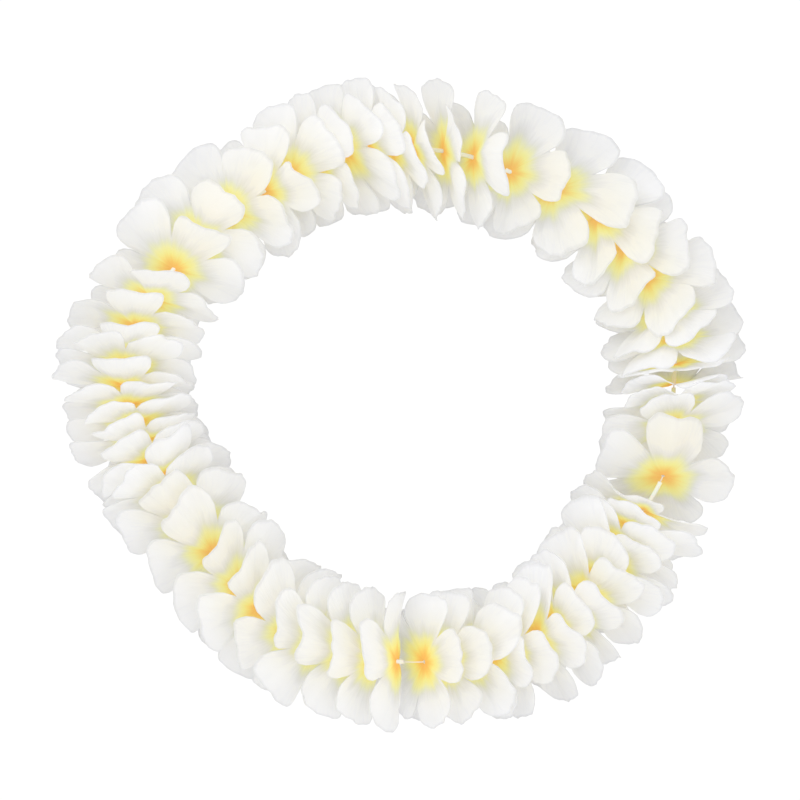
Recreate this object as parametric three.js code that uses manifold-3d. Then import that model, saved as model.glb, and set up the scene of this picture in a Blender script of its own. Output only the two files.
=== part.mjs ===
// Flower lei: fifty-eight cloth blooms threaded on one string that is tied into a closed loop.
// Each bloom is a round of sheer cloth with five broad petals and a slender tube on its back.
// The lei lies flat, with its lowest petals on the table. Millimetres and degrees, +Z up.

import * as THREE from 'three';
import { mergeVertices } from 'three/addons/utils/BufferGeometryUtils.js';
import Module from 'manifold-3d';

// The string: where it lies, seen from above, every 15 degrees clockwise from +X
const STRING_OUT = [
  164, 165, 159, 162, 165, 160, 157, 153, 152, 146, 144, 152,
  163, 164, 156, 153, 148, 153, 150, 151, 152, 160, 163, 168,
];
const STRING_HEIGHT = [
  27, 25, 28, 28, 28, 28, 33, 37, 32, 27, 27, 29,
  29, 29, 27, 26, 27, 28, 28, 28, 25, 25, 26, 29,
];
const STRING_RADIUS = 0.35;
const STRING_STEPS = 80;
const STRING_SIDES = 8;
const KNOT_AT = 308.9;
const KNOT_RADIUS = 1.3;
const TAIL_RADIUS = 0.3;
const TAIL_LENGTH = 6;

// The middle of the lei's box, seen from the middle of its loop
const BOX_MIDDLE = [0.59, -3.13];

// A bloom laid flat: its petals' edge and two rings inside it, each point an angle from the
// petal's own middle and a share of the petal's reach
const PETALS = 5;
const PETAL_STEP = 360 / PETALS;
const PETAL_REACH = 42;
const PETAL_EDGE = [[-36, 0.6], [-25, 0.91], [-9, 1], [9, 1], [25, 0.91]];
const PETAL_MIDDLE = [[-36, 0.36], [-18, 0.55], [0, 0.6], [18, 0.55]];
const PETAL_ROOT = [[-36, 0.18], [0, 0.21]];
const CLOTH_THICK = 0.62;

// How far the cloth waves out of its plane
const CUP = 2.2;
const TIP_SWING = 2.4;
const TWIST = 1.9;
const LOOSE_STEP = 4.6;
const LOOSE_MOST = 1.5;

// How far a petal's edges stand forward of its middle
const BOAT = 3.5;

// What tells one bloom's waves from another's: seeds, and how they are mixed
const FIRST_TIP_SEED = 10;
const TWIST_SEED = 20;
const CUP_SEED = 21;
const MIX_BLOOM = 12.9898;
const MIX_USE = 78.233;
const MIX_SPREAD = 43758.5453;

// The cloth lies flatter towards a bloom's sides, by this share of its lean
const SIDE_LEAN = 0.45;

// Upper petals fall over by this much more from this height to this height over the string,
// less where a bloom stands straighter than this lean, and never to more than this lean
const CREST_LEAN = 16;
const CREST_FROM = 8;
const CREST_TO = 38;
const CREST_FULL_AT = 30;
const CREST_MOST = 58;

// Lower petals bend aside from this depth to this depth under the string, then run straight
const BEND_FROM = 3;
const BEND_TO = 20;
const BEND_MOST = 72;
const PRESS_DOWN = 0.6;
const PROFILE_STEPS = 24;
const FOOT_TRIES = 30;

// Between these turns lower petals bend back along the string, elsewhere ahead
const FEET_BACK_FROM = 103;
const FEET_BACK_TO = 359;

// The tube on a bloom's back
const TUBE_RADIUS = 1.4;
const BORE_RADIUS = 1;
const TUBE_SIDES = 5;
const TUBE_LONGEST = 19;
const TUBE_END_GAP = 1.2;

// Blooms whose tube is only a stub, and the stub's length
const STUBS = { 18: 4, 19: 4, 20: 4, 21: 4, 22: 5, 23: 5, 39: 6, 40: 5, 50: 3, 51: 3, 52: 3, 53: 4 };

// The blooms in order: place along the string clockwise from +X, lean, the direction of one
// petal, turn about the upright, and for a few of them the lean of their lower petals. A
// positive lean takes a bloom's top back along the string, and a positive turn takes its outer
// side ahead. A petal at 0 points out, and one at 90 points up.
const BLOOMS = [
  [1, 15, 50.6, -8.4], [5.6, 24.8, 29.4, -13.2], [16.3, 41, 18, -1.6], [24.5, 8.9, 36, 3],
  [29, 16, 30, 3], [33.3, 21, 0, 3], [37.6, 26, 2, 1], [41.9, 27, 36, -2], [46.3, 31, 5, -3],
  [51, 20, 5, 0], [55.3, 24, 21.7, 4], [60, 26.7, 2, 5.2], [65.5, 26, 0, 12], [69.6, 27.2, 4, 11],
  [74.8, 33, 45.5, 8], [80.2, 36, 26, 5], [84.6, 33.6, 26.7, 3], [90.6, -19.4, 30.4, -0.9, 44.4],
  [95.6, -30, 20, 4, 43], [101.6, -36, 24, 0, 24], [108.4, -38, 30, 0, 8], [115.4, -41, 50, 1, -12],
  [123.8, -42, 43.5, 4], [130.5, -46, 34, 0], [140.5, -40, 20, 4], [148.5, -37.6, 14, 6],
  [157.5, -22, 65, -4], [162, -17, 50, -8], [166.3, -15, 2, -9], [170.5, -13, 4, -8],
  [174.7, -13, 70.3, -6], [178.7, -12, 50, -4], [182.7, -13, 18, -2], [186.8, -22, 54, -2],
  [189.6, -18.1, 18, -4], [195.3, -23.5, 6.2, -4], [202, -19, 18, -2], [209.8, -43, 20, 0],
  [218.3, -42, 6, 5], [228, -45, 59, 10], [237, -34, 38, 9], [244.3, -32, 7.5, 0],
  [251.3, -18, 0, -5], [257.5, -24, 57.2, -9], [262.8, -17, 0, -13], [268, -16, 36, -15],
  [273, -15, 20, -15], [280, -12, 0, -14], [287, -18, 18, -12], [296, -46, 4, -4],
  [306.5, -46, 64, 4], [317.5, -46, 64, -4], [326, -43, 42, -6], [334, -34, 15, -8],
  [342, -22, 0, -6], [347.7, -16, 54, 0], [352.8, -5, 59, 0], [357, 5, 57.8, -4],
];

const wasm = await Module();
wasm.setup();

const radians = THREE.MathUtils.degToRad;
const degrees = THREE.MathUtils.radToDeg;
const lei = new THREE.Group();
const petalCloth = new THREE.MeshStandardMaterial({ color: '#fbfbf3', roughness: 0.8 });
const thread = new THREE.MeshStandardMaterial({ color: '#f4f2ea', roughness: 0.7 });

// A number between -1 and 1 that depends only on the bloom and on what it is for
function vary(bloom, use) {
  const mixed = Math.sin(bloom * MIX_BLOOM + use * MIX_USE) * MIX_SPREAD;
  return 2 * (mixed - Math.floor(mixed)) - 1;
}

// A smooth curve round the loop through values that are given at even steps
function roundLoop(values, turn) {
  const step = 360 / values.length;
  const place = (((turn % 360) + 360) % 360) / step;
  const first = Math.floor(place);
  const s = place - first;
  const at = (k) => values[(first + k + values.length) % values.length];
  const [a, b, c, d] = [at(-1), at(0), at(1), at(2)];
  return b + 0.5 * s * (c - a + s * (2 * a - 5 * b + 4 * c - d + s * (3 * (b - c) + d - a)));
}

// The point that lies "out" from the string and at a height, at a turn round the loop
function besideString(turn, out, height) {
  const reach = roundLoop(STRING_OUT, turn) + out;
  const angle = radians(turn);
  return new THREE.Vector3(
    reach * Math.cos(angle) - BOX_MIDDLE[0],
    -reach * Math.sin(angle) - BOX_MIDDLE[1],
    Math.max(height, 0),
  );
}

// The lean of a bloom's cloth at a distance across it and a depth under its hole
function leanAt(bloom, across, depth) {
  const bent = THREE.MathUtils.clamp((depth - BEND_FROM) / (BEND_TO - BEND_FROM), 0, 1);
  const flatter = 1 + (SIDE_LEAN * Math.abs(across)) / PETAL_REACH;
  const risen = THREE.MathUtils.clamp((-depth - CREST_FROM) / (CREST_TO - CREST_FROM), 0, 1);
  const fall = CREST_LEAN * Math.min(Math.abs(bloom.lean) / CREST_FULL_AT, 1);
  const crest = Math.sign(bloom.lean) * Math.min(fall, CREST_MOST - Math.abs(bloom.lean));
  const lean = bloom.lean + (bloom.foot - bloom.lean) * bent + crest * risen;
  return THREE.MathUtils.clamp(lean * flatter, -BEND_MOST, BEND_MOST);
}

// How far along the string and how high a bloom's cloth is, at a place on it from its hole
function profile(bloom, across, up) {
  const span = Math.abs(up) / PROFILE_STEPS;
  let along = 0;
  let height = 0;
  for (let k = 0; k < PROFILE_STEPS; k += 1) {
    const slope = radians(leanAt(bloom, across, -Math.sign(up) * (k + 0.5) * span));
    along -= Math.sign(up) * span * Math.sin(slope);
    height += Math.sign(up) * span * Math.cos(slope);
  }
  return [along, height];
}

// How far the cloth waves along the string at a place on a petal
function wave(bloom, petal, angle, share) {
  const next = (petal + (angle < 0 ? PETALS - 1 : 1)) % PETALS;
  const tip = TIP_SWING * vary(bloom, FIRST_TIP_SEED + petal);
  const beside = TIP_SWING * vary(bloom, FIRST_TIP_SEED + next);
  const blend = 0.5 * (1 - Math.cos((Math.PI * Math.abs(angle)) / (PETAL_STEP / 2))) / 2;
  const twist = (TWIST + vary(bloom, TWIST_SEED)) * Math.sin(radians((angle * 360) / PETAL_STEP));
  const cup = CUP * vary(bloom, CUP_SEED) * share;
  return share * (tip * (1 - blend) + beside * blend + twist + cup);
}

// The places of one ring of a bloom, front or back
function petalRing(bloom, outline, side) {
  const ring = [];
  for (let petal = 0; petal < PETALS; petal += 1) {
    for (const [angle, share] of outline) {
      const direction = radians(bloom.spin + petal * PETAL_STEP + angle);
      const across = PETAL_REACH * share * Math.cos(direction);
      const up = PETAL_REACH * share * Math.sin(direction);
      const [along, height] = profile(bloom, across, up);
      const slope = radians(leanAt(bloom, across, -up));
      const yaw = radians(bloom.yaw);
      const boat = BOAT * share * (angle / (PETAL_STEP / 2)) ** 2;
      const waved = boat + bloom.looseness * wave(bloom.number, petal, angle, share);
      const thick = (side * CLOTH_THICK) / 2 / Math.cos(slope);
      const out = across * Math.cos(yaw);
      const ahead = along + across * Math.sin(yaw) + waved + thick;
      const turn = bloom.turn + degrees(ahead / (roundLoop(STRING_OUT, bloom.turn) + out));
      const point = besideString(turn, out, bloom.height + height);
      ring.push({ angle: bloom.spin + petal * PETAL_STEP + angle, point });
    }
  }
  return ring;
}

// The places of one ring of the tube: on the leaning cloth, or square across the string
function tubeRing(bloom, radius, side, back) {
  const ring = [];
  for (let k = 0; k < TUBE_SIDES; k += 1) {
    const angle = bloom.spin - PETAL_STEP / 2 + (k * 360) / TUBE_SIDES;
    const out = radius * Math.cos(radians(angle));
    const up = radius * Math.sin(radians(angle));
    const slope = radians(bloom.lean);
    const onCloth = -up * Math.tan(slope) + (side * CLOTH_THICK) / 2 / Math.cos(slope);
    const ahead = back === 0 ? onCloth : -back;
    const turn = bloom.turn + degrees(ahead / (roundLoop(STRING_OUT, bloom.turn) + out));
    const middle = back === 0 ? bloom.height : roundLoop(STRING_HEIGHT, turn);
    ring.push({ angle, point: besideString(turn, out, middle + up) });
  }
  return ring;
}

// Triangles between two rings that start at the same angle, split alike whichever comes first
function stitch(triangles, from, to) {
  let i = 0;
  let j = 0;
  const ahead = (ring, k) => (k + 1 < ring.length ? ring[k + 1].angle : ring[0].angle + 360);
  while (i < from.length || j < to.length) {
    const nextFrom = i < from.length ? ahead(from, i) : Infinity;
    const nextTo = j < to.length ? ahead(to, j) : Infinity;
    const level = Math.abs(nextFrom - nextTo) < 1e-6;
    const moveFrom = level ? from.length > to.length : nextFrom < nextTo;
    const a = from[i % from.length].point;
    const b = to[j % to.length].point;
    if (moveFrom) {
      i += 1;
      triangles.push(b, a, from[i % from.length].point);
    } else {
      j += 1;
      triangles.push(b, a, to[j % to.length].point);
    }
  }
}

// The lean that brings a bloom's lowest petals down to the table, but no lower
function footLean(bloom) {
  const side = Math.sign(bloom.sweep);
  const lowest = (foot) => {
    const heights = [];
    for (let petal = 0; petal < PETALS; petal += 1) {
      for (const [angle, share] of PETAL_EDGE) {
        const direction = radians(bloom.spin + petal * PETAL_STEP + angle);
        const across = PETAL_REACH * share * Math.cos(direction);
        const up = PETAL_REACH * share * Math.sin(direction);
        heights.push(bloom.height + profile({ ...bloom, foot }, across, up)[1]);
      }
    }
    return Math.min(...heights);
  };
  let low = Math.abs(bloom.lean);
  let high = BEND_MOST;
  if (lowest(side * low) >= -PRESS_DOWN) {
    return side * low;
  }
  for (let k = 0; k < FOOT_TRIES; k += 1) {
    const middle = (low + high) / 2;
    if (lowest(side * middle) < -PRESS_DOWN) {
      low = middle;
    } else {
      high = middle;
    }
  }
  return (side * (low + high)) / 2;
}

// One bloom: its front, the bore, the tube, its back and its rim as one closed skin
function bloomMesh(bloom) {
  const clear = bloom.room - TUBE_RADIUS * Math.tan(radians(Math.abs(bloom.leanBefore)));
  const longest = STUBS[bloom.number] ?? TUBE_LONGEST;
  const length = Math.min(clear - CLOTH_THICK - TUBE_END_GAP, longest);
  const skin = [
    petalRing(bloom, PETAL_EDGE, 1),
    petalRing(bloom, PETAL_MIDDLE, 1),
    petalRing(bloom, PETAL_ROOT, 1),
    tubeRing(bloom, BORE_RADIUS, 1, 0),
    tubeRing(bloom, BORE_RADIUS, -1, length / 2),
    tubeRing(bloom, BORE_RADIUS, -1, length),
    tubeRing(bloom, TUBE_RADIUS, -1, length),
    tubeRing(bloom, TUBE_RADIUS, -1, length / 2),
    tubeRing(bloom, TUBE_RADIUS, -1, 0),
    petalRing(bloom, PETAL_ROOT, -1),
    petalRing(bloom, PETAL_MIDDLE, -1),
    petalRing(bloom, PETAL_EDGE, -1),
  ];
  const triangles = [];
  skin.forEach((ring, k) => stitch(triangles, ring, skin[(k + 1) % skin.length]));
  const middle = besideString(bloom.turn, 0, bloom.height);
  const geometry = new THREE.BufferGeometry().setFromPoints(triangles);
  geometry.translate(-middle.x, -middle.y, -middle.z);
  const mesh = new THREE.Mesh(mergeVertices(geometry, 1e-5), petalCloth.clone());
  mesh.geometry.computeVertexNormals();
  mesh.position.copy(middle);
  mesh.name = `bloom_${String(bloom.number).padStart(2, '0')}`;
  return mesh;
}

// A closed geometry as a solid that can be joined to others
function solid(geometry) {
  const bare = geometry.clone();
  bare.deleteAttribute('normal');
  bare.deleteAttribute('uv');
  const merged = mergeVertices(bare, 1e-4);
  return new wasm.Manifold(new wasm.Mesh({
    numProp: 3,
    vertProperties: new Float32Array(merged.attributes.position.array),
    triVerts: new Uint32Array(merged.index.array),
  }));
}

// The string with its knot and the knot's two tails
function stringMesh() {
  const points = [];
  for (let k = 0; k < STRING_STEPS; k += 1) {
    const turn = (-k * 360) / STRING_STEPS;
    points.push(besideString(turn, 0, roundLoop(STRING_HEIGHT, turn)));
  }
  const route = new THREE.CatmullRomCurve3(points, true);
  const loop = new THREE.TubeGeometry(route, STRING_STEPS, STRING_RADIUS, STRING_SIDES, true);
  const middle = besideString(KNOT_AT, 0, roundLoop(STRING_HEIGHT, KNOT_AT));
  const knot = new THREE.IcosahedronGeometry(KNOT_RADIUS, 1);
  knot.translate(middle.x, middle.y, middle.z);
  let joined = solid(loop).add(solid(knot));
  for (const side of [-1, 1]) {
    const tail = new THREE.CylinderGeometry(TAIL_RADIUS, TAIL_RADIUS, TAIL_LENGTH, 6);
    tail.translate(0, TAIL_LENGTH / 2, 0);
    tail.rotateZ((side * Math.PI) / 2 - radians(KNOT_AT));
    tail.translate(middle.x, middle.y, middle.z);
    joined = joined.add(solid(tail));
  }
  const result = joined.getMesh();
  const geometry = new THREE.BufferGeometry();
  geometry.setAttribute('position', new THREE.BufferAttribute(result.vertProperties, 3));
  geometry.setIndex(new THREE.BufferAttribute(result.triVerts, 1));
  geometry.computeVertexNormals();
  const mesh = new THREE.Mesh(geometry, thread);
  mesh.name = 'string_loop';
  return mesh;
}

BLOOMS.forEach(([turn, lean, spin, yaw, foot], k) => {
  const [turnBefore, leanBefore] = BLOOMS[(k + BLOOMS.length - 1) % BLOOMS.length];
  const [turnAfter] = BLOOMS[(k + 1) % BLOOMS.length];
  const step = (turn - turnBefore + 360) % 360;
  const stepAfter = (turnAfter - turn + 360) % 360;
  const bloom = {
    number: k + 1,
    turn,
    lean,
    spin,
    leanBefore,
    height: roundLoop(STRING_HEIGHT, turn),
    room: radians(step) * roundLoop(STRING_OUT, turn),
    looseness: Math.min(step / LOOSE_STEP, stepAfter / LOOSE_STEP, LOOSE_MOST),
    yaw,
    sweep: turn > FEET_BACK_FROM && turn < FEET_BACK_TO ? -1 : 1,
  };
  bloom.foot = foot === undefined ? footLean(bloom) : foot;
  lei.add(bloomMesh(bloom));
});
lei.add(stringMesh());

export default lei;
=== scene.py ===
import math
import bpy
import numpy as np
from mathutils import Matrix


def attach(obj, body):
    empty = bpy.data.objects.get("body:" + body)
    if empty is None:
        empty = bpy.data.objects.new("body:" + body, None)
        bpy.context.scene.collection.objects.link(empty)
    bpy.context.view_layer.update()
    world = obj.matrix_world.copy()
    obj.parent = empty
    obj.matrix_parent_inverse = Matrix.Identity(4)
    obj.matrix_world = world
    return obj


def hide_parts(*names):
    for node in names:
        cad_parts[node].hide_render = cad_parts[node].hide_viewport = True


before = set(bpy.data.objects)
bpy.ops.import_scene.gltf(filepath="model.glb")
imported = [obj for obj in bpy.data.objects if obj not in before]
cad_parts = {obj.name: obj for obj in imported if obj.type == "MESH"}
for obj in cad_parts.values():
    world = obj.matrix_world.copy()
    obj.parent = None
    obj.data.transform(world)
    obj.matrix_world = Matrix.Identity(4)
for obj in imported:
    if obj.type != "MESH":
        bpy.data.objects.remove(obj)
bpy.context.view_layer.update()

bpy.ops.object.select_all(action="DESELECT")


# Camera: straight over the lei, as the photograph was taken, 1.6 m above its string, with a
# long lens that takes in 480 mm of the table.
CAMERA_PLACE = (-0.0003, 0.0023, 1.625)
SENSOR_WIDTH = 36
LENS = 120
bpy.ops.object.camera_add(location=CAMERA_PLACE, rotation=(0, 0, 0))
camera = bpy.context.object
camera.name = "camera_above"
camera.data.sensor_width = SENSOR_WIDTH
camera.data.lens = LENS
camera.data.clip_end = 10
bpy.context.scene.camera = camera


# Table: a plain sheet of opal acrylic on a light box. From above it is as bright as white paper
# in the sun, with no shadow on it, and it throws about two thirds of the light back on the lei.
TABLE_SIDE = 6
TABLE_SHARE = 0.65
LIGHT_BOX = 1.05
bpy.ops.mesh.primitive_plane_add(size=TABLE_SIDE, location=(0, 0, 0))
table = bpy.context.object
table.name = "white_table"
bpy.ops.object.transform_apply(location=True, rotation=True, scale=True)
board = bpy.data.materials.new("white_board")
board.use_nodes = True
nodes, links = board.node_tree.nodes, board.node_tree.links
finish = nodes["Principled BSDF"]
finish.inputs["Base Color"].default_value = (TABLE_SHARE, TABLE_SHARE, TABLE_SHARE, 1)
finish.inputs["Roughness"].default_value = 0.9
finish.inputs["Specular IOR Level"].default_value = 0
light_box = nodes.new("ShaderNodeEmission")
light_box.inputs["Strength"].default_value = LIGHT_BOX
path = nodes.new("ShaderNodeLightPath")
seen = nodes.new("ShaderNodeMixShader")
links.new(path.outputs["Is Camera Ray"], seen.inputs["Fac"])
links.new(finish.outputs["BSDF"], seen.inputs[1])
links.new(light_box.outputs["Emission"], seen.inputs[2])
links.new(seen.outputs["Shader"], nodes["Material Output"].inputs["Surface"])
table.data.materials.append(board)


# Light: a white studio tent that shines from all round, and a big soft panel at the upper left
# of the picture with a weaker one across from it.
TENT_COLOUR = (0.975, 0.98, 1.0, 1)
TENT_STRENGTH = 0.96
world = bpy.data.worlds.new("white_tent")
world.use_nodes = True
world.node_tree.nodes["Background"].inputs["Color"].default_value = TENT_COLOUR
world.node_tree.nodes["Background"].inputs["Strength"].default_value = TENT_STRENGTH
bpy.context.scene.world = world
# Each panel: name, place, tilt about X and Y in degrees, side in metres, power in watts
PANELS = (
    ("main_panel", (-0.75, 0.75, 1.25), (-40, -40), 0.9, 4.4),
    ("fill_panel", (0.9, -0.7, 1.2), (35, 42), 1.1, 2.8),
)
for name, place, (tilt_x, tilt_y), panel_side, power in PANELS:
    tilt = (math.radians(tilt_x), math.radians(tilt_y), 0)
    bpy.ops.object.light_add(type="AREA", location=place, rotation=tilt)
    panel = bpy.context.object
    panel.name = name
    panel.data.shape = "SQUARE"
    panel.data.size = panel_side
    panel.data.energy = power
bpy.context.scene.view_settings.view_transform = "Standard"
bpy.context.scene.view_settings.look = "None"
bpy.context.scene.view_settings.exposure = 0
bpy.context.scene.view_settings.gamma = 1


# Petal cloth: a sheer woven polyester, stiffened and pressed, white, with orange and then
# yellow dye that has run outward from the hole along the threads. Light shows through it.
# The UV map holds the flat cut: one unit is 100 mm, and the hole is at 0.5, 0.5.
DYE_REACH = 0.285
DYE_RUN = (0.8, 1.18)
DYE_STOPS = (
    (0.0, (1.0, 0.55, 0.17, 1)), (0.16, (1.0, 0.62, 0.19, 1)), (0.28, (1.0, 0.79, 0.26, 1)),
    (0.41, (1.0, 0.95, 0.40, 1)), (0.56, (0.945, 0.97, 0.56, 1)),
    (0.73, (0.832, 0.841, 0.905, 1)), (1.0, (0.795, 0.802, 0.92, 1)),
)
STREAKS = 1.9
PLEATS = 22
PLEAT_STRETCH = (1.0, 1.0, 0.45)
PLEAT_DEPTH = 0.0006
# How dark the pleat hollows are painted, as painted shade
PLEAT_PAINTED_SHADE = 0.965
PETAL_SHADE = 0.965
# Painted shade along the petal rims: where it starts, its strength, and its grey
RIM_FROM = 0.955
RIM_SHARE = 0.2
RIM_PAINTED_SHADE = (0.42, 0.42, 0.43, 1)
# Painted glow of the cloth, and how much more of it there is at the throats
PAINTED_GLOW = 0.14
THROAT_PAINTED_GLOW = 2.5
SHEERNESS = 0.52
cloth = bpy.data.materials.new("petal_cloth")
cloth.use_nodes = True
nodes, links = cloth.node_tree.nodes, cloth.node_tree.links
nodes.remove(nodes["Principled BSDF"])


def ranged(value, from_low, from_high, to_low, to_high):
    mapped = nodes.new("ShaderNodeMapRange")
    mapped.inputs["From Min"].default_value = from_low
    mapped.inputs["From Max"].default_value = from_high
    mapped.inputs["To Min"].default_value = to_low
    mapped.inputs["To Max"].default_value = to_high
    links.new(value, mapped.inputs["Value"])
    return mapped.outputs["Result"]


def combined(operation, one, other):
    arithmetic = nodes.new("ShaderNodeMath")
    arithmetic.operation = operation
    links.new(one, arithmetic.inputs[0])
    links.new(other, arithmetic.inputs[1])
    return arithmetic.outputs["Value"]


def scaled(colour, share):
    scaling = nodes.new("ShaderNodeVectorMath")
    scaling.operation = "SCALE"
    links.new(colour, scaling.inputs[0])
    links.new(share, scaling.inputs["Scale"])
    return scaling.outputs["Vector"]


# Where a spot lies on its bloom: the way out from the hole, and how far, apart for each bloom
flat = nodes.new("ShaderNodeUVMap")
flat.uv_map = "flat_cut"
centred = nodes.new("ShaderNodeVectorMath")
centred.operation = "SUBTRACT"
centred.inputs[1].default_value = (0.5, 0.5, 0)
links.new(flat.outputs["UV"], centred.inputs[0])
radius = nodes.new("ShaderNodeVectorMath")
radius.operation = "LENGTH"
links.new(centred.outputs["Vector"], radius.inputs[0])
outward = nodes.new("ShaderNodeVectorMath")
outward.operation = "NORMALIZE"
links.new(centred.outputs["Vector"], outward.inputs[0])
apart = nodes.new("ShaderNodeSeparateXYZ")
links.new(outward.outputs["Vector"], apart.inputs["Vector"])
own = nodes.new("ShaderNodeAttribute")
own.attribute_name = "own_dye"
polar = nodes.new("ShaderNodeCombineXYZ")
links.new(apart.outputs["X"], polar.inputs["X"])
links.new(apart.outputs["Y"], polar.inputs["Y"])
links.new(combined("ADD", own.outputs["Fac"], radius.outputs["Value"]), polar.inputs["Z"])

# The dye has run farther along some threads than along others
streaks = nodes.new("ShaderNodeTexNoise")
streaks.inputs["Scale"].default_value = STREAKS
streaks.inputs["Detail"].default_value = 2
streaks.inputs["Roughness"].default_value = 0.55
links.new(polar.outputs["Vector"], streaks.inputs["Vector"])
run = ranged(streaks.outputs["Fac"], 0.3, 0.7, *DYE_RUN)
dye_share = ranged(combined("DIVIDE", radius.outputs["Value"], run), 0, DYE_REACH, 0, 1)
dye = nodes.new("ShaderNodeValToRGB")
dye.color_ramp.interpolation = "B_SPLINE"
for place, colour in DYE_STOPS:
    stop = dye.color_ramp.elements.new(place)
    stop.color = colour
dye.color_ramp.elements.remove(dye.color_ramp.elements[0])
dye.color_ramp.elements.remove(dye.color_ramp.elements[-1])
links.new(dye_share, dye.inputs["Fac"])

# Pressed pleats run outward, with painted shade in their hollows; petals differ a little in tone
pleats = nodes.new("ShaderNodeTexNoise")
pleats.inputs["Scale"].default_value = PLEATS
pleats.inputs["Detail"].default_value = 2
stretch = nodes.new("ShaderNodeVectorMath")
stretch.operation = "MULTIPLY"
stretch.inputs[1].default_value = PLEAT_STRETCH
links.new(polar.outputs["Vector"], stretch.inputs[0])
links.new(stretch.outputs["Vector"], pleats.inputs["Vector"])
relief = nodes.new("ShaderNodeBump")
relief.inputs["Strength"].default_value = 0.35
relief.inputs["Distance"].default_value = PLEAT_DEPTH
links.new(pleats.outputs["Fac"], relief.inputs["Height"])
# Painted shade: the cloth is darker where the pleats are hollow
pleat_painted_shade = ranged(pleats.outputs["Fac"], 0.36, 0.6, PLEAT_PAINTED_SHADE, 1)
petal_tone = ranged(streaks.outputs["Fac"], 0.35, 0.65, 1, PETAL_SHADE)
threads = scaled(dye.outputs["Color"], combined("MULTIPLY", petal_tone, pleat_painted_shade))

# The heat-cut rim has a thin grey line of painted shade, and a painted glow is strongest at the
# dye
rim = nodes.new("ShaderNodeAttribute")
rim.attribute_name = "toward_edge"
rim_shaded = nodes.new("ShaderNodeMix")
rim_shaded.data_type = "RGBA"
links.new(ranged(rim.outputs["Fac"], RIM_FROM, 1, 0, RIM_SHARE), rim_shaded.inputs["Factor"])
links.new(threads, rim_shaded.inputs["A"])
rim_shaded.inputs["B"].default_value = RIM_PAINTED_SHADE
# Painted glow: the cloth gives off light of its own colour, most at the throats, to lift the
# shade in its crevices
throat_painted_glow = ranged(dye_share, 0.05, 0.6, THROAT_PAINTED_GLOW, 1)
face = nodes.new("ShaderNodeBsdfPrincipled")
face.inputs["Roughness"].default_value = 0.72
face.inputs["Specular IOR Level"].default_value = 0.25
face.inputs["Emission Strength"].default_value = PAINTED_GLOW
links.new(rim_shaded.outputs["Result"], face.inputs["Base Color"])
links.new(scaled(rim_shaded.outputs["Result"], throat_painted_glow), face.inputs["Emission Color"])
links.new(relief.outputs["Normal"], face.inputs["Normal"])
through = nodes.new("ShaderNodeBsdfTranslucent")
links.new(rim_shaded.outputs["Result"], through.inputs["Color"])
links.new(relief.outputs["Normal"], through.inputs["Normal"])
sheer = nodes.new("ShaderNodeMixShader")
sheer.inputs["Fac"].default_value = SHEERNESS
links.new(face.outputs["BSDF"], sheer.inputs[1])
links.new(through.outputs["BSDF"], sheer.inputs[2])
inner = nodes.new("ShaderNodeNewGeometry")
clear = nodes.new("ShaderNodeBsdfTransparent")
thin = nodes.new("ShaderNodeMixShader")
links.new(inner.outputs["Backfacing"], thin.inputs["Fac"])
links.new(sheer.outputs["Shader"], thin.inputs[1])
links.new(clear.outputs["BSDF"], thin.inputs[2])
links.new(thin.outputs["Shader"], nodes["Material Output"].inputs["Surface"])


# Tubes: slender milky plastic straws, one on the back of each bloom, cut square with a knife.
tube_plastic = bpy.data.materials.new("tube_plastic")
tube_plastic.use_nodes = True
finish = tube_plastic.node_tree.nodes["Principled BSDF"]
finish.inputs["Base Color"].default_value = (0.93, 0.91, 0.84, 1)
finish.inputs["Roughness"].default_value = 0.38
finish.inputs["Subsurface Weight"].default_value = 0.2
finish.inputs["Subsurface Scale"].default_value = 0.002


# Bloom pattern: one round of cloth laid flat, 42 mm from its hole to a petal's tip, cut into
# five broad petals, with its tube behind it. It is modelled once, and every bloom is a copy.
REACH = 0.042
HOLE_RADIUS = 0.0012
CLOTH_THICKNESS = 0.0003
PETAL_ANGLE = 72
HALF_PETAL = 36
AROUND = 100
RINGS = 22
RING_GROWTH = 1.1
RING_SPACING = 0.9
NOTCH_DEPTH = 0.40
SLIT_DEPTH = 0.10
SLIT_FROM = 0.86
TUBE_RADIUS = 0.0013
TUBE_WALL = 0.0004
TUBE_SIDES = 14
TUBE_RINGS = 6
MM = 1000
bpy.ops.mesh.primitive_circle_add(vertices=AROUND, radius=HOLE_RADIUS, fill_type="NOTHING")
pattern = bpy.context.object
pattern.name = "bloom_pattern"
bpy.ops.object.mode_set(mode="EDIT")
bpy.ops.mesh.select_all(action="SELECT")
for ring in range(RINGS):
    bpy.ops.mesh.extrude_edges_indiv()
    bpy.ops.transform.resize(value=(RING_GROWTH, RING_GROWTH, 1))
bpy.ops.object.mode_set(mode="OBJECT")
flat_places = np.empty(len(pattern.data.vertices) * 3)
pattern.data.vertices.foreach_get("co", flat_places)
flat_places = flat_places.reshape(-1, 3)
from_hole = np.hypot(flat_places[:, 0], flat_places[:, 1]) / HOLE_RADIUS
ring_of = np.rint(np.log(from_hole) / np.log(RING_GROWTH))
angle = np.degrees(np.arctan2(flat_places[:, 1], flat_places[:, 0]))
from_middle = (angle + HALF_PETAL) % PETAL_ANGLE - HALF_PETAL
notch = np.abs(from_middle) / HALF_PETAL
slit = np.clip((notch - SLIT_FROM) / (1 - SLIT_FROM), 0, 1)
edge = 1 - NOTCH_DEPTH * notch ** 4 - SLIT_DEPTH * slit ** 2
share_out = (ring_of / RINGS) ** RING_SPACING
distance = HOLE_RADIUS + (REACH * edge - HOLE_RADIUS) * share_out
flat_places[:, 0] = distance * np.cos(np.radians(angle))
flat_places[:, 1] = distance * np.sin(np.radians(angle))
pattern.data.vertices.foreach_set("co", flat_places.ravel())
flat_cut = pattern.data.uv_layers.new(name="flat_cut")
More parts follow.
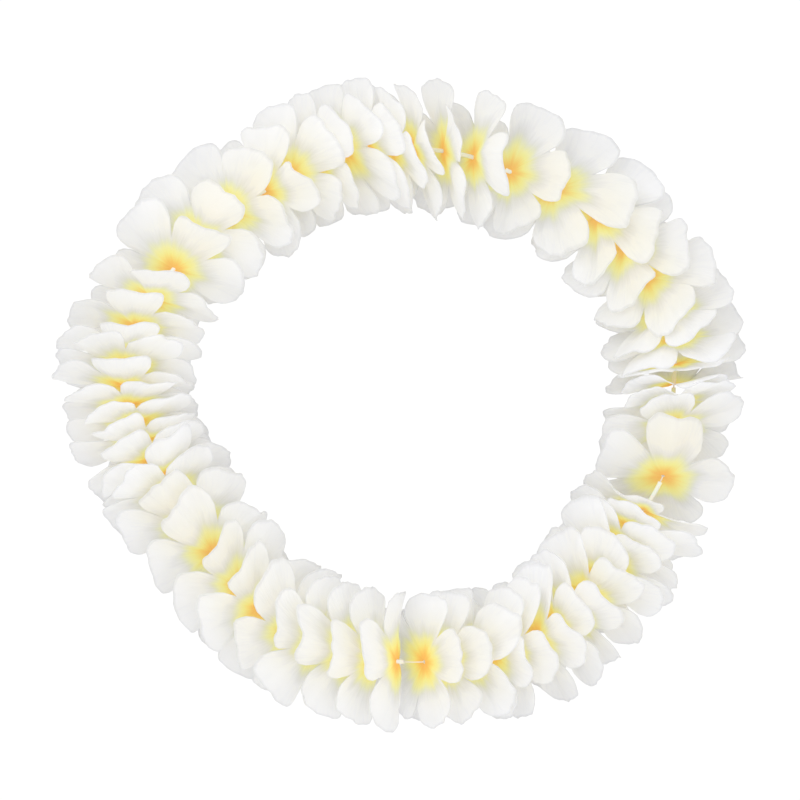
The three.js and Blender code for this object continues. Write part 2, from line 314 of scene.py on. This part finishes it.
corners = np.empty(len(pattern.data.loops), dtype=int)
pattern.data.loops.foreach_get("vertex_index", corners)
flat_cut.data.foreach_set("uv", (flat_places[corners, :2] * 10 + 0.5).ravel())
toward_edge = pattern.data.attributes.new("toward_edge", "FLOAT", "POINT")
toward_edge.data.foreach_set("value", share_out.astype(np.float32))
thickness = pattern.modifiers.new("thickness", "SOLIDIFY")
thickness.thickness = CLOTH_THICKNESS
thickness.offset = 0
bpy.ops.object.modifier_apply(modifier="thickness")
pattern.data.materials.append(cloth)
CLOTH_VERTICES = len(pattern.data.vertices)

bpy.ops.mesh.primitive_circle_add(vertices=TUBE_SIDES, radius=TUBE_RADIUS, fill_type="NOTHING")
straw = bpy.context.object
bpy.ops.object.mode_set(mode="EDIT")
bpy.ops.mesh.select_all(action="SELECT")
for ring in range(TUBE_RINGS):
    bpy.ops.mesh.extrude_edges_indiv()
    bpy.ops.transform.translate(value=(0, 0, -1 / TUBE_RINGS))
bpy.ops.mesh.select_all(action="SELECT")
bpy.ops.mesh.normals_make_consistent(inside=False)
bpy.ops.object.mode_set(mode="OBJECT")
straw.data.uv_layers.new(name="flat_cut")
wall = straw.modifiers.new("wall", "SOLIDIFY")
wall.thickness = TUBE_WALL
wall.offset = -1
bpy.ops.object.modifier_apply(modifier="wall")
straw.data.materials.append(tube_plastic)
bpy.ops.object.select_all(action="DESELECT")
straw.select_set(True)
pattern.select_set(True)
bpy.context.view_layer.objects.active = pattern
bpy.ops.object.join()
bpy.ops.object.mode_set(mode="EDIT")
bpy.ops.mesh.select_all(action="SELECT")
bpy.ops.mesh.normals_make_consistent(inside=False)
bpy.ops.object.mode_set(mode="OBJECT")
bpy.ops.object.shade_smooth_by_angle(angle=math.radians(50))
pattern.data.attributes.new("own_dye", "FLOAT", "POINT")
pattern_places = np.empty(len(pattern.data.vertices) * 3)
pattern.data.vertices.foreach_get("co", pattern_places)
pattern_places = pattern_places.reshape(-1, 3) * MM


# Blooms: fifty-eight of them, pushed along the string until they lean on one another. The
# string's distance and height are in millimetres, every 15 degrees clockwise from +X. Each
# bloom is bent from the flat pattern: it leans, its sides lie flatter, its petals wave, and
# the ones below are pressed aside by the table.
STRING_OUT = np.array([
    164, 165, 159, 162, 165, 160, 157, 153, 152, 146, 144, 152,
    163, 164, 156, 153, 148, 153, 150, 151, 152, 160, 163, 168], dtype=float)
STRING_HEIGHT = np.array([
    27, 25, 28, 28, 28, 28, 33, 37, 32, 27, 27, 29,
    29, 29, 27, 26, 27, 28, 28, 28, 25, 25, 26, 29], dtype=float)
STRING_STEP = 15
# Lengths are in millimetres and leans in degrees. The lower petals are swept back along the
# string between the two turns, and ahead elsewhere
BOX_MIDDLE = (0.59, -3.13)
REACH_MM = 42
STEEPEST = 72
BEND_FROM, BEND_OVER = 3, 17
CREST_FROM, CREST_OVER = 8, 30
CREST, FULL_CREST_LEAN, CREST_LIMIT = 16, 30, 58
FLATTER = 0.45
BEND_STEPS = 24
FEET_BACK_FROM, FEET_BACK_TO = 103, 359
TIP_SPOTS = ((-36, 0.6), (-25, 0.91), (-9, 1), (9, 1), (25, 0.91))
TABLE_DIP = -0.6
FIT_STEPS = 30
USUAL_STEP, LOOSEST = 4.6, 1.5
LENGTH_DIFFERENCE, RAGGED = 0.06, 0.014
TIP_SWING, TWIST, CUP, BOAT = 2.4, 1.9, 2.2, 3.5
CREASE, RIPPLE, CURL, FOLD = 0.6, 0.5, 3.0, 3.5
SOLID_CLOTH, TUBE_GAP, TUBE_LEAN_ROOM = 0.62, 1.2, 1.4
LONGEST_TUBE = 19
# Tubes that were cut short, by bloom
STUBS = {18: 4, 19: 4, 20: 4, 21: 4, 22: 5, 23: 5, 39: 6, 40: 5, 50: 3, 51: 3, 52: 3, 53: 4}
# Each row: place, lean, direction of one petal, turn about the upright, lean of the lower petals
BLOOMS = [
    (1, 15, 50.6, -8.4), (5.6, 24.8, 29.4, -13.2), (16.3, 41, 18, -1.6), (24.5, 8.9, 36, 3),
    (29, 16, 30, 3), (33.3, 21, 0, 3), (37.6, 26, 2, 1), (41.9, 27, 36, -2), (46.3, 31, 5, -3),
    (51, 20, 5, 0), (55.3, 24, 21.7, 4), (60, 26.7, 2, 5.2), (65.5, 26, 0, 12),
    (69.6, 27.2, 4, 11), (74.8, 33, 45.5, 8), (80.2, 36, 26, 5), (84.6, 33.6, 26.7, 3),
    (90.6, -19.4, 30.4, -0.9, 44.4), (95.6, -30, 20, 4, 43), (101.6, -36, 24, 0, 24),
    (108.4, -38, 30, 0, 8), (115.4, -41, 50, 1, -12), (123.8, -42, 43.5, 4),
    (130.5, -46, 34, 0), (140.5, -40, 20, 4), (148.5, -37.6, 14, 6), (157.5, -22, 65, -4),
    (162, -17, 50, -8), (166.3, -15, 2, -9), (170.5, -13, 4, -8), (174.7, -13, 70.3, -6),
    (178.7, -12, 50, -4), (182.7, -13, 18, -2), (186.8, -22, 54, -2), (189.6, -18.1, 18, -4),
    (195.3, -23.5, 6.2, -4), (202, -19, 18, -2), (209.8, -43, 20, 0), (218.3, -42, 6, 5),
    (228, -45, 59, 10), (237, -34, 38, 9), (244.3, -32, 7.5, 0), (251.3, -18, 0, -5),
    (257.5, -24, 57.2, -9), (262.8, -17, 0, -13), (268, -16, 36, -15), (273, -15, 20, -15),
    (280, -12, 0, -14), (287, -18, 18, -12), (296, -46, 4, -4), (306.5, -46, 64, 4),
    (317.5, -46, 64, -4), (326, -43, 42, -6), (334, -34, 15, -8), (342, -22, 0, -6),
    (347.7, -16, 54, 0), (352.8, -5, 59, 0), (357, 5, 57.8, -4),
]


# A fixed scatter between -1 and 1, for each bloom and each use
def vary(bloom, use):
    mixed = math.sin(bloom * 12.9898 + use * 78.233) * 43758.5453
    return 2 * (mixed - math.floor(mixed)) - 1


def for_petals(bloom, use, size):
    return np.array([size * vary(bloom, use + petal) for petal in range(5)])


# A smooth curve through the string's values, all the way round
def round_loop(values, turn):
    place = np.mod(turn, 360) / STRING_STEP
    first = np.floor(place).astype(int)
    s = place - first
    a, b, c, d = (values[(first + k) % len(values)] for k in (-1, 0, 1, 2))
    return b + 0.5 * s * (c - a + s * (2 * a - 5 * b + 4 * c - d + s * (3 * (b - c) + d - a)))


def lean_at(lean, foot, across, depth):
    bent = np.clip((depth - BEND_FROM) / BEND_OVER, 0, 1)
    risen = np.clip((-depth - CREST_FROM) / CREST_OVER, 0, 1)
    falls_over = min(CREST * min(abs(lean) / FULL_CREST_LEAN, 1), CREST_LIMIT - abs(lean))
    crest = math.copysign(falls_over, lean)
    flatter = 1 + FLATTER * np.abs(across) / REACH_MM
    leaning = (lean + (foot - lean) * bent + crest * risen) * flatter
    return np.radians(np.clip(leaning, -STEEPEST, STEEPEST))


def profile(lean, foot, across, up):
    span = np.abs(up) / BEND_STEPS
    side = np.sign(up)
    along = np.zeros_like(up)
    height = np.zeros_like(up)
    for k in range(BEND_STEPS):
        slope = lean_at(lean, foot, across, -side * (k + 0.5) * span)
        along -= side * span * np.sin(slope)
        height += side * span * np.cos(slope)
    return along, height


# How far the lower petals are swept aside, so that their tips just lie on the table
def foot_lean(turn, lean, spin, string_height):
    side = -1 if FEET_BACK_FROM < turn < FEET_BACK_TO else 1
    tips = np.array([(PETAL_ANGLE * petal + a, share) for petal in range(5)
                     for a, share in TIP_SPOTS])
    across = REACH_MM * tips[:, 1] * np.cos(np.radians(spin + tips[:, 0]))
    up = REACH_MM * tips[:, 1] * np.sin(np.radians(spin + tips[:, 0]))
    low, high = abs(lean), STEEPEST
    if np.min(string_height + profile(lean, side * low, across, up)[1]) >= TABLE_DIP:
        return side * low
    for k in range(FIT_STEPS):
        middle = (low + high) / 2
        if np.min(string_height + profile(lean, side * middle, across, up)[1]) < TABLE_DIP:
            low = middle
        else:
            high = middle
    return side * (low + high) / 2


petal_x, petal_y, petal_z = pattern_places[:CLOTH_VERTICES].T
tube_x, tube_y, tube_back = pattern_places[CLOTH_VERTICES:].T
tube_back = tube_back / MM
petal_radius = np.hypot(petal_x, petal_y)
petal_angle = np.degrees(np.arctan2(petal_y, petal_x)) % 360
petal_number = np.floor((petal_angle + HALF_PETAL) / PETAL_ANGLE).astype(int) % 5
petal_side = (petal_angle + HALF_PETAL) % PETAL_ANGLE - HALF_PETAL
share = petal_radius / REACH_MM
outer = share ** 3
beside_number = (petal_number + np.where(petal_side < 0, 4, 1)) % 5
blend = 0.5 * (1 - np.cos(np.pi * np.abs(petal_side) / HALF_PETAL)) / 2
for k, (turn, lean, spin, yaw, *given) in enumerate(BLOOMS):
    number = k + 1
    before, after = BLOOMS[k - 1], BLOOMS[(k + 1) % len(BLOOMS)]
    step, step_after = (turn - before[0]) % 360, (after[0] - turn) % 360
    out_here = round_loop(STRING_OUT, turn)
    height_here = round_loop(STRING_HEIGHT, turn)
    foot = given[0] if given else foot_lean(turn, lean, spin, height_here)
    looseness = min(step / USUAL_STEP, step_after / USUAL_STEP, LOOSEST)

    # Petals differ a little in length, and their edges are not quite round
    length = for_petals(number, 40, LENGTH_DIFFERENCE)[petal_number]
    ragged = (0.9 * np.sin(petal_side * 0.21 + 4 * petal_number + 9 * vary(number, 50))
              + 0.7 * np.sin(petal_side * 0.52 + 7 * petal_number + 9 * vary(number, 51))
              + 0.3 * np.sin(petal_side * 1.31 + 5 * petal_number + 9 * vary(number, 52)))
    reach = petal_radius * (1 + length * share + RAGGED * outer * ragged)
    direction = np.radians(spin + petal_angle)
    across, up = reach * np.cos(direction), reach * np.sin(direction)
    along, height = profile(lean, foot, across, up)
    slope = lean_at(lean, foot, across, -up)

    # Tips swing to and fro, and each petal twists, cups, and is creased along its middle
    tips = for_petals(number, 10, TIP_SWING)
    swing = tips[petal_number] * (1 - blend) + tips[beside_number] * blend
    twist = (TWIST + vary(number, 20)) * np.sin(np.radians(petal_side * 5))
    cup = CUP * vary(number, 21) * share
    boat = BOAT * share * (petal_side / HALF_PETAL) ** 2
    waved = boat + looseness * share * (swing + twist + cup)
    crease = CREASE * share * np.exp(-(petal_side / 4) ** 2) * vary(number, 60)
    wave = np.radians(petal_side * 14) + 3 * petal_number + 5 * vary(number, 61)
    ripple = RIPPLE * outer * np.sin(wave)
    curl = for_petals(number, 70, CURL)[petal_number] * np.clip((share - 0.6) / 0.4, 0, 1) ** 2
    fold = for_petals(number, 80, FOLD)[petal_number] * (petal_side / 22) ** 2
    fold = fold * np.clip((share - 0.45) / 0.55, 0, 1) ** 2
    yawed = math.radians(yaw)
    ahead = along + across * math.sin(yawed) + petal_z / np.cos(slope)
    ahead = ahead + waved + crease + ripple + curl + fold
    out = across * math.cos(yawed)
    bloom_turn = np.radians(turn + np.degrees(ahead / (out_here + out)))
    lifted = height_here + height
    lifted = 0.5 * (lifted + np.sqrt(lifted ** 2 + 0.3)) + 0.05
    distance = round_loop(STRING_OUT, np.degrees(bloom_turn)) + out
    places = np.empty_like(pattern_places)
    places[:CLOTH_VERTICES, 0] = distance * np.cos(bloom_turn) - BOX_MIDDLE[0]
    places[:CLOTH_VERTICES, 1] = -distance * np.sin(bloom_turn) - BOX_MIDDLE[1]
    places[:CLOTH_VERTICES, 2] = lifted

    # The tube starts on the leaning cloth and follows the string back to the bloom before it
    before_leans = TUBE_LEAN_ROOM * math.tan(math.radians(abs(before[1])))
    room = math.radians(step) * out_here - before_leans - SOLID_CLOTH - TUBE_GAP
    tube_length = min(room, STUBS.get(number, LONGEST_TUBE))
    on_cloth = -tube_y * math.tan(math.radians(lean)) * (1 + tube_back) ** 2
    ahead = tube_back * tube_length + on_cloth
    tube_turn = turn + np.degrees(ahead / (out_here + tube_x))
    distance = round_loop(STRING_OUT, tube_turn) + tube_x
    places[CLOTH_VERTICES:, 0] = distance * np.cos(np.radians(tube_turn)) - BOX_MIDDLE[0]
    places[CLOTH_VERTICES:, 1] = -distance * np.sin(np.radians(tube_turn)) - BOX_MIDDLE[1]
    places[CLOTH_VERTICES:, 2] = round_loop(STRING_HEIGHT, tube_turn) + tube_y

    bloom = pattern.copy()
    bloom.data = pattern.data.copy()
    bloom.name = f"silk_bloom_{number:02d}"
    bpy.context.collection.objects.link(bloom)
    bloom.data.vertices.foreach_set("co", (places / MM).ravel())
    own_dye = bloom.data.attributes["own_dye"]
    own_dye.data.foreach_set("value", np.full(len(places), 2.0 * number))
    bloom.data.update()
    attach(bloom, "root")
    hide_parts(f"bloom_{number:02d}")
bpy.data.objects.remove(pattern)


# String: thin white cotton thread, spun from two plies, run through every tube, and tied in a
# small overhand knot with two cut ends.
STRING_RADIUS = 0.00035
LOOP_POINTS = 240
KNOT_AT = 308.9
KNOT_POINTS = 48
KNOT_SIZE = 0.00033
KNOT_DEPTH = 0.0005
TAIL_POINTS = 7
TAIL_STEP = 0.001
TAIL_RISE = 0.0006
thread = bpy.data.materials.new("white_thread")
thread.use_nodes = True
nodes, links = thread.node_tree.nodes, thread.node_tree.links
finish = nodes["Principled BSDF"]
finish.inputs["Roughness"].default_value = 0.8
place = nodes.new("ShaderNodeTexCoord")
plies = nodes.new("ShaderNodeTexNoise")
plies.inputs["Scale"].default_value = 900
links.new(place.outputs["Object"], plies.inputs["Vector"])
tone = nodes.new("ShaderNodeMix")
tone.data_type = "RGBA"
tone.inputs["A"].default_value = (0.80, 0.76, 0.68, 1)
tone.inputs["B"].default_value = (0.95, 0.93, 0.88, 1)
links.new(plies.outputs["Fac"], tone.inputs["Factor"])
links.new(tone.outputs["Result"], finish.inputs["Base Color"])
relief = nodes.new("ShaderNodeBump")
relief.inputs["Strength"].default_value = 0.4
relief.inputs["Distance"].default_value = 0.0001
links.new(plies.outputs["Fac"], relief.inputs["Height"])
links.new(relief.outputs["Normal"], finish.inputs["Normal"])


def on_string(turn):
    angle = math.radians(turn)
    distance = round_loop(STRING_OUT, np.array(turn))
    return ((distance * math.cos(angle) - BOX_MIDDLE[0]) / MM,
            (-distance * math.sin(angle) - BOX_MIDDLE[1]) / MM,
            float(round_loop(STRING_HEIGHT, np.array(turn))) / MM)


route = bpy.data.curves.new("string_route", "CURVE")
route.dimensions = "3D"
route.bevel_depth = STRING_RADIUS
route.bevel_resolution = 2
loop = route.splines.new("POLY")
loop.points.add(LOOP_POINTS - 1)
for k in range(LOOP_POINTS):
    loop.points[k].co = (*on_string(360 * k / LOOP_POINTS), 1)
loop.use_cyclic_u = True
knot_x, knot_y, knot_z = on_string(KNOT_AT)
knot = route.splines.new("POLY")
knot.points.add(KNOT_POINTS - 1)
for k in range(KNOT_POINTS):
    t = 2 * math.pi * k / KNOT_POINTS
    knot.points[k].co = (knot_x + KNOT_SIZE * (math.sin(t) + 2 * math.sin(2 * t)),
                         knot_y + KNOT_SIZE * (math.cos(t) - 2 * math.cos(2 * t)),
                         knot_z - KNOT_DEPTH * math.sin(3 * t), 1)
knot.use_cyclic_u = True
knot_angle = math.radians(KNOT_AT)
for side in (-1, 1):
    tail = route.splines.new("POLY")
    tail.points.add(TAIL_POINTS - 1)
    for k in range(TAIL_POINTS):
        far = side * TAIL_STEP * k
        tail.points[k].co = (knot_x + far * math.cos(knot_angle),
                             knot_y - far * math.sin(knot_angle),
                             knot_z + TAIL_RISE * math.sin(0.5 * k), 1)
string = bpy.data.objects.new("tied_string", route)
bpy.context.collection.objects.link(string)
bpy.ops.object.select_all(action="DESELECT")
string.select_set(True)
bpy.context.view_layer.objects.active = string
bpy.ops.object.convert(target="MESH")
string = bpy.context.object
string.data.materials.append(thread)
bpy.ops.object.shade_smooth()
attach(string, "root")
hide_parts("string_loop")
